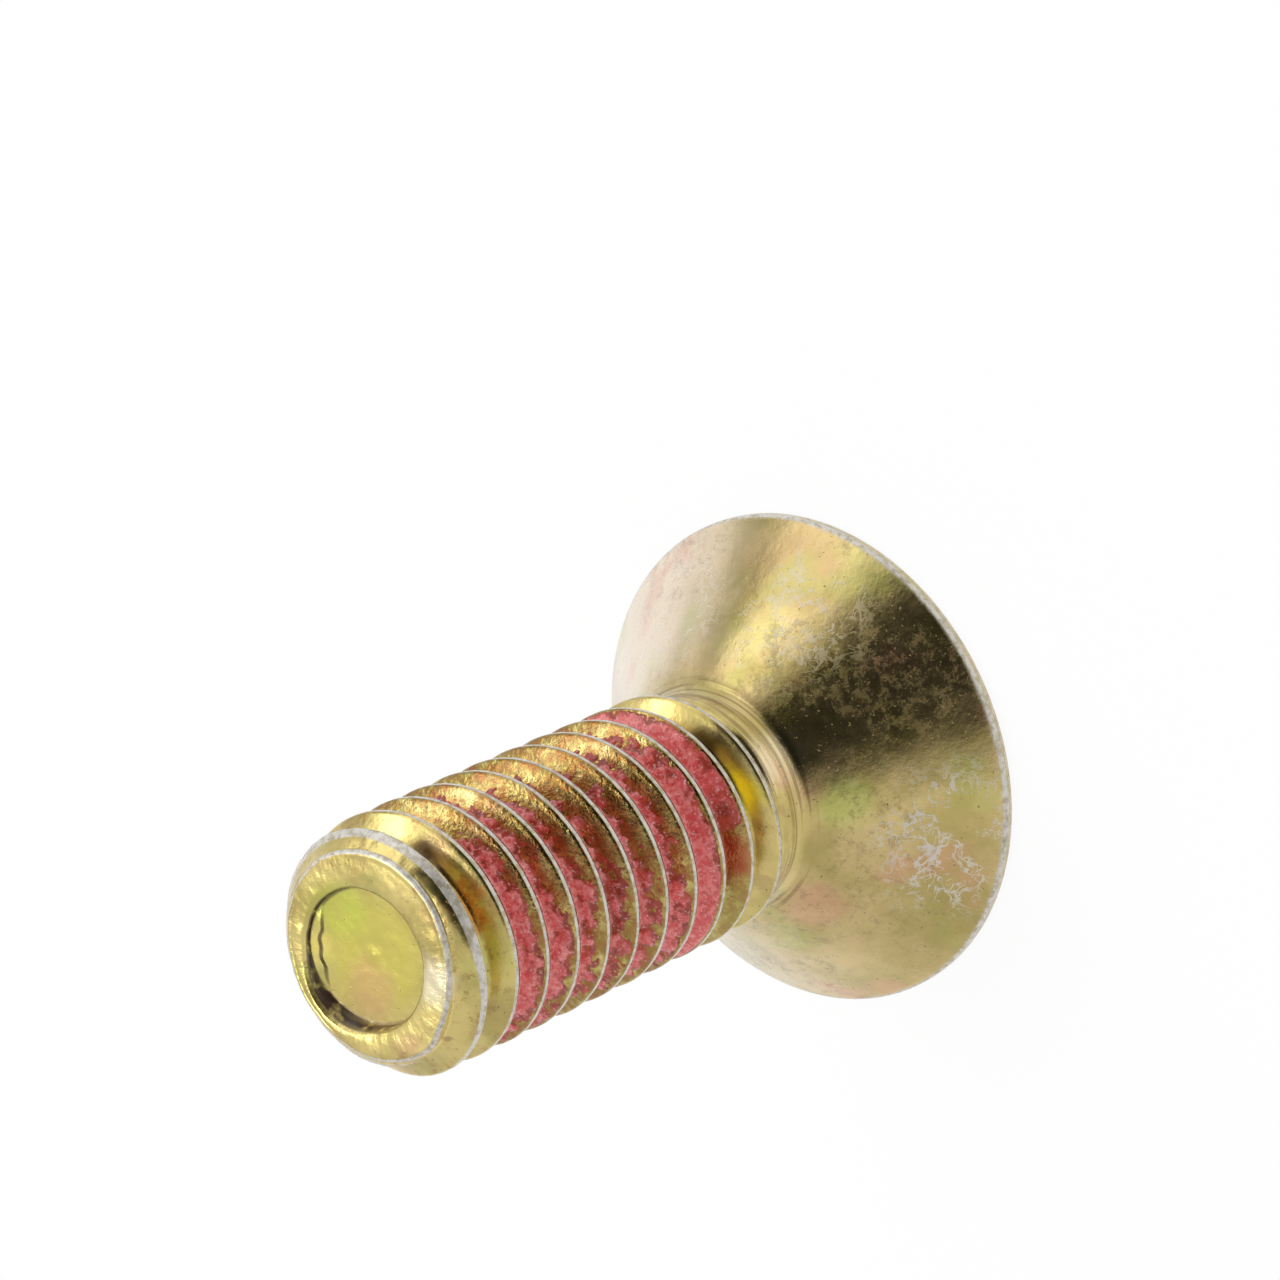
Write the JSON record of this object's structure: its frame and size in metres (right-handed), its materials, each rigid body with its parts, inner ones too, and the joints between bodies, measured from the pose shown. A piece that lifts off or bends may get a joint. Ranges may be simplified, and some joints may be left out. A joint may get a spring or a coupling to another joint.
{
  "type": "countersunk machine screw",
  "caption": "Countersunk machine screw with a hexagon socket, a rolled right-hand thread and a dried thread-locking film, for closing a crankcase.",
  "frame": {"origin": "middle of the head's outer face, which the screw stands on", "axes": "+Z along the screw's axis from the head to the tip; X and Y are free about the axis, and -Y is the side that the picture shows"},
  "size_m": [0.012, 0.012, 0.0157],
  "materials": {
    "gold_zinc_steel": "steel with a yellow passivated zinc coat, worn bright on the crests and the rim",
    "dried_thread_lock": "dried pink-red film, thin in places, lumpy and matt"
  },
  "bodies": {
    "root": {"screw": "gold_zinc_steel", "thread_lock_film": "dried_thread_lock"}
  },
  "joints": []
}
